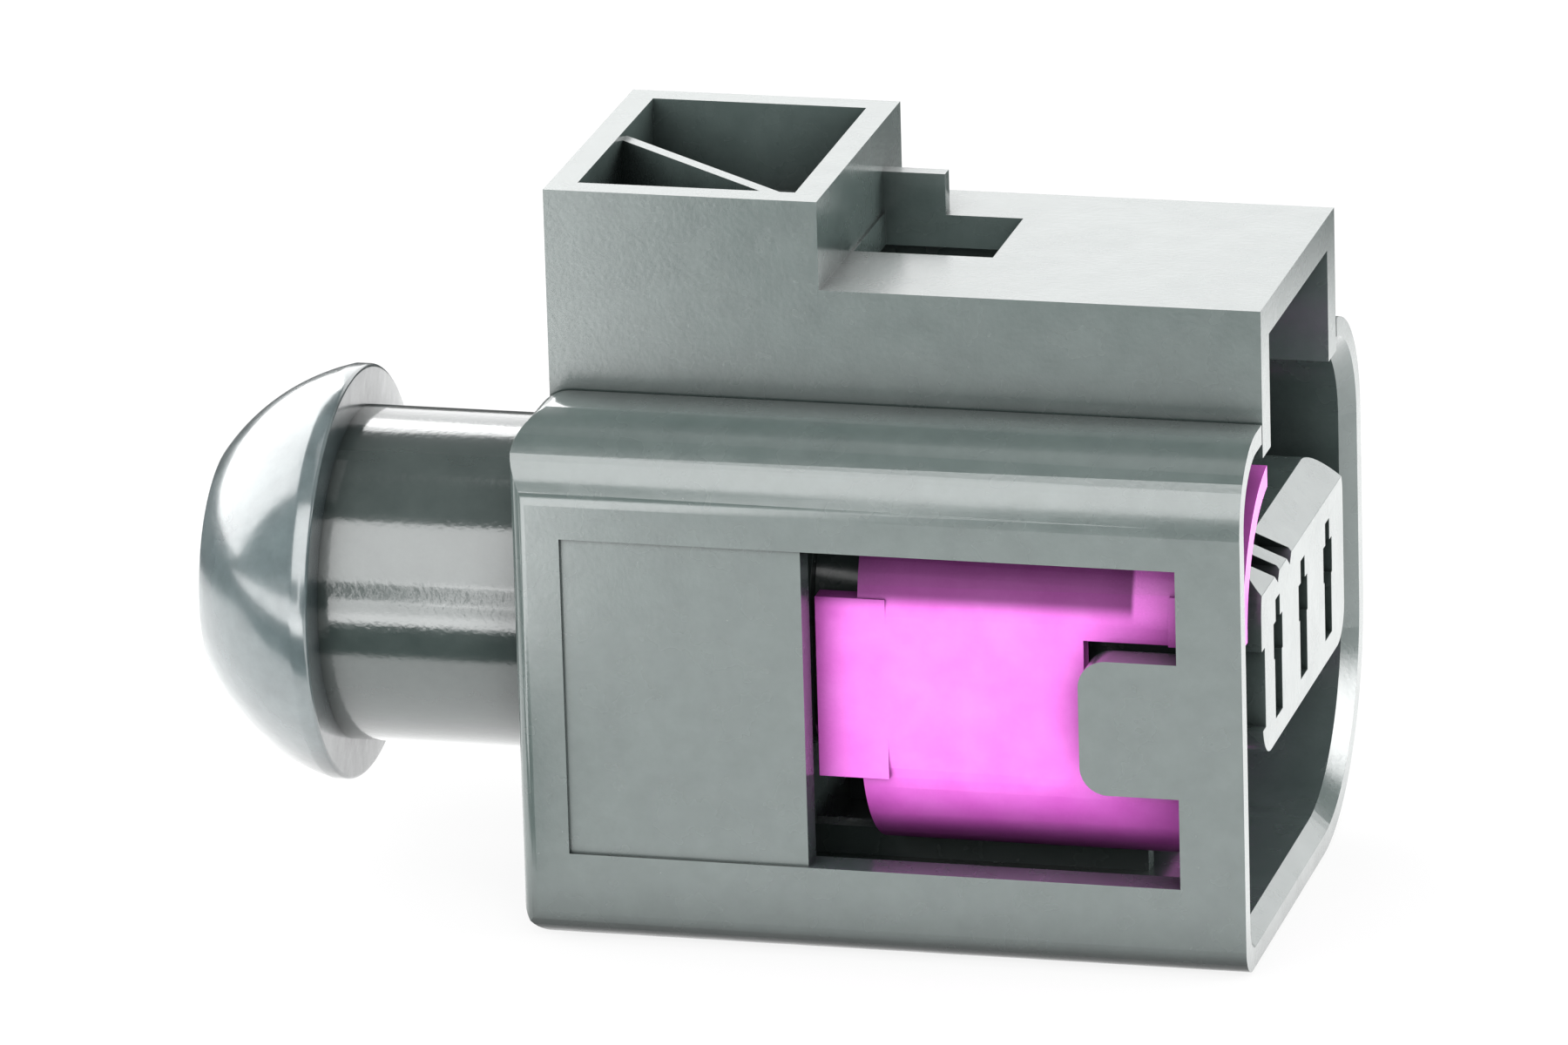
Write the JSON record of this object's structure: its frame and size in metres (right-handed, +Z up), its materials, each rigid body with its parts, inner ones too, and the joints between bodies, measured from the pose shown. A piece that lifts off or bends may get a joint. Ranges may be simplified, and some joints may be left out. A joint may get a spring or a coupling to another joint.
{
  "type": "sealed connector plug",
  "caption": "Sealed plug housing with a keyed open hood, rocker latch with thumb box, sliding secondary lock seen through a side window, contact carrier and a round neck with a domed wire exit cap",
  "frame": {"origin": "on the underside, below the mating axis at the middle of the body's length", "axes": "+X is the mating direction out of the mouth, +Z is up to the latch, +Y points to the round side"},
  "size_m": [0.0392, 0.0204, 0.0262],
  "materials": {
    "housing_plastic": "satin moulded black",
    "cap_plastic": "smooth, slightly glossy black",
    "lock_plastic": "satin moulded magenta",
    "seal_rubber": "oiled silicone",
    "contact_tin": "tinned copper alloy sheet",
    "spring_steel": "stainless spring sheet"
  },
  "bodies": {
    "plug": {"housing": "housing_plastic", "wire_exit_cap": "cap_plastic", "contact_carrier": "housing_plastic", "interface_seal": "seal_rubber", "contact_body_1": "contact_tin", "contact_body_2": "contact_tin", "contact_body_3": "contact_tin", "contact_spring_1": "spring_steel", "contact_spring_2": "spring_steel", "contact_spring_3": "spring_steel", "wire_seal_1": "seal_rubber", "wire_seal_2": "seal_rubber", "wire_seal_3": "seal_rubber"},
    "latch": {"latch_lever": "housing_plastic"},
    "lock": {"secondary_lock": "lock_plastic"}
  },
  "joints": [
    {"name": "latch_rock", "type": "hinge", "parent": "plug", "child": "latch", "pos_m": [-0.0062, 0, 0.0167], "axis": [0, -1, 0], "range_deg": [0, 6], "stiffness_Nm_per_rad": 0.05},
    {"name": "lock_slide", "type": "slide", "parent": "plug", "child": "lock", "axis": [-1, 0, 0], "range_m": [0, 0.0015]}
  ]
}
